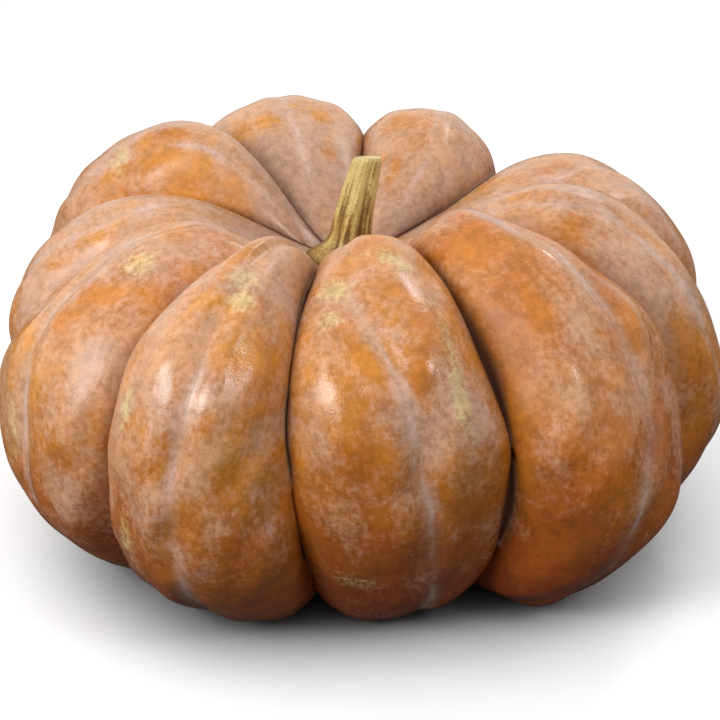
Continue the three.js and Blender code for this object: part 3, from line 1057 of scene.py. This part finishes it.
def rind_material(settings):
    """Amber rind under a cloudy bloom, with cork patches, pale veins, painted shade in the creases, low
    down and near the stem, and fine pores.
    """
    make_effects()
    material, wiring, shader = new_material("pumpkin_rind")
    place = wiring.add("TexCoord").outputs["Object"]
    grain = wiring.attribute("grain", "Vector")
    parts = {name: wiring.noise(place, *look) for name, look in RIND_NOISE.items()}
    for name, look in RIND_STREAKS.items():
        parts[name] = wiring.group("streaks", {"Grain": grain, **look})
    for name in ("underside", "haze", "bare", "clouded", "cork", "matt"):
        parts[name] = wiring.attribute(name)

    # Bare rind: amber on top, deep orange below and in broad clouds, then darker and redder towards
    # the foot, partly its own colour and partly painted shade
    depth = wiring.mixture(parts, RIND_SUMS["depth"])
    flesh = wiring.blend(depth, tuple(settings.flesh), tuple(settings.deep_flesh))
    underside_tint_and_shade = wiring.math("MULTIPLY", parts["underside"], UNDERSIDE_TINT_AND_SHADE_SHARE)
    flesh = wiring.blend(underside_tint_and_shade, flesh, UNDERSIDE_TINT_AND_SHADE)

    # Bloom over it, in clouds with ragged edges, runs down the lobes and fine mottling
    bloom = wiring.step(wiring.mixture(parts, RIND_SUMS["cover"]), *RIND_STEPS["bloom"])
    tone = wiring.step(wiring.mixture(parts, RIND_SUMS["tone"]), *RIND_STEPS["tone"])
    waxy = wiring.blend(tone, tuple(settings.bloom), tuple(settings.grey_bloom))
    colour = wiring.blend(bloom, flesh, waxy)
    # Dust and painted shade in the hollow near the stem
    colour = wiring.blend(wiring.attribute("dust"), colour, DUST_AND_SHADE_BROWN)

    # The vein: a thin broken line with a pale haze to both sides
    across = wiring.add("SeparateXYZ", {"Vector": grain}).outputs["X"]
    raggedness = VEIN_RAGGEDNESS * MM
    frayed = wiring.total((across, 1.0), (parts["blotch"], raggedness), start=-raggedness / 2)
    off_vein = wiring.math("ABSOLUTE", frayed)
    broken = wiring.step(parts["runs"], *RIND_STEPS["broken vein"])
    line, beside = (
        wiring.math(
            "MULTIPLY",
            wiring.step(off_vein, near * MM, far * MM, 1.0, 0.0),
            wiring.total((broken, more), start=least),
        )
        for near, far, least, more in VEIN_PARTS
    )
    vein = wiring.math("ADD", line, beside, clamp=True)
    shown = wiring.math("MULTIPLY", vein, wiring.attribute("vein"))
    colour = wiring.blend(shown, colour, tuple(settings.furrow))

    # Cork, its edge frayed by noise and its body speckled
    crust = wiring.step(wiring.mixture(parts, RIND_SUMS["crust"]), *RIND_STEPS["crust"])
    edge = wiring.step(parts["cork"], *RIND_STEPS["cork edge"])
    crust = wiring.math("MULTIPLY", crust, edge)
    colour = wiring.blend(crust, colour, tuple(settings.cork))

    # Grime and freckles, and brown painted shade deep in the creases
    freckles = wiring.step(wiring.mixture(parts, RIND_SUMS["freckles"]), *RIND_STEPS["freckles"])
    grey = wiring.add("CombineColor", {"Red": freckles, "Green": freckles, "Blue": freckles}).outputs[0]
    colour = wiring.blend(1.0, colour, grey, "MULTIPLY")
    for reach, darkness in CREASE_SHADE_BANDS:
        core = CREASE_SHADE_CORE * reach
        crease = wiring.step(wiring.attribute("gap"), core, reach, darkness, 0.0)
        colour = wiring.blend(crease, colour, CREASE_SHADE_BROWN)
    wiring.feed(shader.inputs["Base Color"], colour)

    # The mask of the painted crease shade also makes the creases duller
    parts.update(bloom=bloom, crust=crust, crease=crease)
    wiring.feed(shader.inputs["Roughness"], wiring.mixture(parts, RIND_SUMS["roughness"]))
    shader.inputs["Specular IOR Level"].default_value = 0.5

    # Relief finer than the mesh: dents, wrinkles, pores and cork crust
    pores = wiring.group("pores", {"Vector": place, **RIND_PORES})
    rough_crust = wiring.math("MULTIPLY", crust, parts["fine"])
    bumps = wiring.bump(parts["dents"], DENT_HEIGHT * MM)
    bumps = wiring.bump(parts["wrinkles"], WRINKLE_HEIGHT * MM, bumps)
    bumps = wiring.bump(pores, PORE_HEIGHT * MM, bumps)
    bumps = wiring.bump(rough_crust, CORK_HEIGHT * MM, bumps)
    wiring.feed(shader.inputs["Normal"], bumps)
    return material


def stem_material(settings):
    """Dry straw-coloured fibre with ochre furrows, painted shade in the deepest ones, a pale cut and
    brown specks.
    """
    make_effects()
    material, wiring, shader = new_material("pumpkin_stem")
    place = wiring.add("TexCoord").outputs["Object"]
    grain = wiring.attribute("grain", "Vector")
    parts = {name: wiring.noise(place, *look) for name, look in STEM_NOISE.items()}
    parts["blots"] = wiring.step(parts["blots"], *STEM_STEPS["blots"])
    parts["fibres"] = wiring.group("streaks", {"Grain": grain, **STEM_STREAKS})
    for name in ("foot", "groove"):
        parts[name] = wiring.attribute(name)

    # Ochre with age and in the furrows, then brown painted shade in the deepest furrows and near the
    # foot, broken up by fibres and grit
    age = wiring.step(wiring.mixture(parts, STEM_SUMS["age"]), *STEM_STEPS["age"])
    colour = wiring.blend(age, tuple(settings.straw), tuple(settings.ochre))
    shade = wiring.step(wiring.mixture(parts, STEM_SUMS["shade"]), *STEM_STEPS["shade"])
    colour = wiring.blend(shade, colour, STEM_SHADE_BROWN)

    # Specks all over it, and the paler cut
    specks = wiring.step(parts["specks"], *STEM_STEPS["specks"])
    colour = wiring.blend(wiring.math("MULTIPLY", specks, SPECK_SHARE), colour, STEM_SPECK_BROWN)
    cut = wiring.math("MULTIPLY", wiring.attribute("cut"), CUT_SHARE)
    colour = wiring.blend(cut, colour, STEM_CUT_STRAW)
    wiring.feed(shader.inputs["Base Color"], colour)
    wiring.feed(shader.inputs["Roughness"], wiring.step(parts["grit"], *STEM_STEPS["roughness"]))

    # Relief finer than the mesh: fibres, grit and pores
    pores = wiring.group("pores", {"Vector": place, **STEM_PORES})
    bumps = wiring.bump(parts["fibres"], FIBRE_HEIGHT * MM)
    bumps = wiring.bump(parts["grit"], GRIT_HEIGHT * MM, bumps)
    bumps = wiring.bump(pores, STEM_PORE_HEIGHT * MM, bumps)
    wiring.feed(shader.inputs["Normal"], bumps)
    return material


def floor_material():
    """White paper that throws little light back at the fruit, with a soft painted shadow where it
    touches.
    """
    material, wiring, shader = new_material("studio_floor")
    seen = wiring.add("LightPath").outputs["Is Camera Ray"]
    occlusion = wiring.add("AmbientOcclusion", {"Distance": CONTACT_REACH}, samples=CONTACT_SAMPLES)
    light = wiring.step(occlusion.outputs["AO"], *CONTACT_FADE)
    paper = wiring.blend(light, PAPER_IN_SHADOW, PAPER_WHITE)
    wiring.feed(shader.inputs["Base Color"], wiring.blend(seen, PAPER_BOUNCE, paper))
    shader.inputs["Roughness"].default_value = 1.0
    shader.inputs["Specular IOR Level"].default_value = 0.0
    return material


# The studio

VIEW_MIDDLE = np.array([6, 0, 91.6]) + AXIS
# Half the floor's side in metres, and the width of the camera's sensor in millimetres
FLOOR_HALF_SIZE = 6.0
SENSOR_WIDTH = 36
# Soft lamps: bearing from +X and rise in degrees, distance and size in metres, and power in watts
LAMPS = {
    "key left": (-136, 30, 1.3, 0.5, 10.4),
    "low left": (-172, 18, 1.3, 0.3, 0.7),
    "front right": (-46, 39, 1.3, 0.22, 1.9),
    "back right": (48, 47, 1.3, 0.25, 2.2),
}


class PUMPKIN_OT_studio(bpy.types.Operator):
    """Make the pale floor, the soft lamps, the white surround and the camera"""

    bl_idname = "pumpkin.studio"
    bl_label = "Pumpkin Studio"
    bl_options = {"REGISTER", "UNDO"}

    def execute(self, context):
        settings = context.scene.pumpkin_studio
        middle = Vector(VIEW_MIDDLE * MM)
        scene = context.scene
        scene.view_settings.view_transform = "Standard"
        scene.view_settings.look = "None"

        mesh = bpy.data.meshes.new("studio_floor")
        side = FLOOR_HALF_SIZE
        corners = [(-side, -side, 0), (side, -side, 0), (side, side, 0), (-side, side, 0)]
        mesh.from_pydata(corners, [], [(0, 1, 2, 3)])
        floor = bpy.data.objects.new("studio_floor", mesh)
        floor.data.materials.append(floor_material())
        context.collection.objects.link(floor)

        for name, (bearing, rise, distance, size, power) in LAMPS.items():
            lamp = bpy.data.lights.new("lamp_" + name.replace(" ", "_"), "AREA")
            lamp.size = size
            lamp.energy = power * settings.light
            holder = bpy.data.objects.new(lamp.name, lamp)
            bearing, rise = math.radians(bearing), math.radians(rise)
            away = Vector(
                (math.cos(bearing) * math.cos(rise), math.sin(bearing) * math.cos(rise), math.sin(rise))
            )
            holder.location = middle + distance * away
            holder.rotation_euler = away.to_track_quat("Z", "Y").to_euler()
            context.collection.objects.link(holder)

        world = scene.world or bpy.data.worlds.new("studio_surround")
        scene.world = world
        world.use_nodes = True
        background = world.node_tree.nodes["Background"]
        background.inputs["Color"].default_value = (1, 1, 1, 1)
        wiring = Wiring(world.node_tree)
        direction = wiring.add("TexCoord").outputs["Generated"]
        backward = wiring.add("SeparateXYZ", {"Vector": direction}).outputs["Y"]
        strength = wiring.total((backward, settings.surround_lean), start=settings.surround)
        wiring.feed(background.inputs["Strength"], strength)

        camera = bpy.data.cameras.new("studio_camera")
        camera.lens = settings.lens
        camera.sensor_width = SENSOR_WIDTH
        holder = bpy.data.objects.new("studio_camera", camera)
        back = Vector((0, -math.cos(settings.camera_rise), math.sin(settings.camera_rise)))
        holder.location = middle + settings.camera_distance * back
        holder.rotation_euler = back.to_track_quat("Z", "Y").to_euler()
        context.collection.objects.link(holder)
        scene.camera = holder
        return {"FINISHED"}


class PUMPKIN_PT_panel(bpy.types.Panel):
    """Lists the pumpkin's operators and what can be changed about each"""

    bl_idname = "PUMPKIN_PT_panel"
    bl_label = "Pumpkin"
    bl_space_type = "VIEW_3D"
    bl_region_type = "UI"
    bl_category = "Pumpkin"

    def draw(self, context):
        for operator, settings in (
            (PUMPKIN_OT_studio, context.scene.pumpkin_studio),
            (PUMPKIN_OT_fruit, context.scene.pumpkin_fruit),
            (PUMPKIN_OT_stem, context.scene.pumpkin_stem),
        ):
            box = self.layout.box()
            for name in type(settings).__annotations__:
                box.prop(settings, name)
            box.operator(operator.bl_idname)


CLASSES = (
    PumpkinFruitSettings,
    PumpkinStemSettings,
    PumpkinStudioSettings,
    PUMPKIN_OT_fruit,
    PUMPKIN_OT_stem,
    PUMPKIN_OT_studio,
    PUMPKIN_PT_panel,
)


def register():
    """Makes the classes known and gives every scene the settings."""
    for cls in CLASSES:
        bpy.utils.register_class(cls)
    bpy.types.Scene.pumpkin_fruit = bpy.props.PointerProperty(type=PumpkinFruitSettings)
    bpy.types.Scene.pumpkin_stem = bpy.props.PointerProperty(type=PumpkinStemSettings)
    bpy.types.Scene.pumpkin_studio = bpy.props.PointerProperty(type=PumpkinStudioSettings)


def unregister():
    """Takes back what register made."""
    del bpy.types.Scene.pumpkin_studio
    del bpy.types.Scene.pumpkin_stem
    del bpy.types.Scene.pumpkin_fruit
    for cls in reversed(CLASSES):
        bpy.utils.unregister_class(cls)


def main():
    """Makes everything in order."""
    register()
    bpy.ops.pumpkin.studio()
    bpy.ops.pumpkin.fruit()
    bpy.ops.pumpkin.stem()


if __name__ == "__main__":
    main()
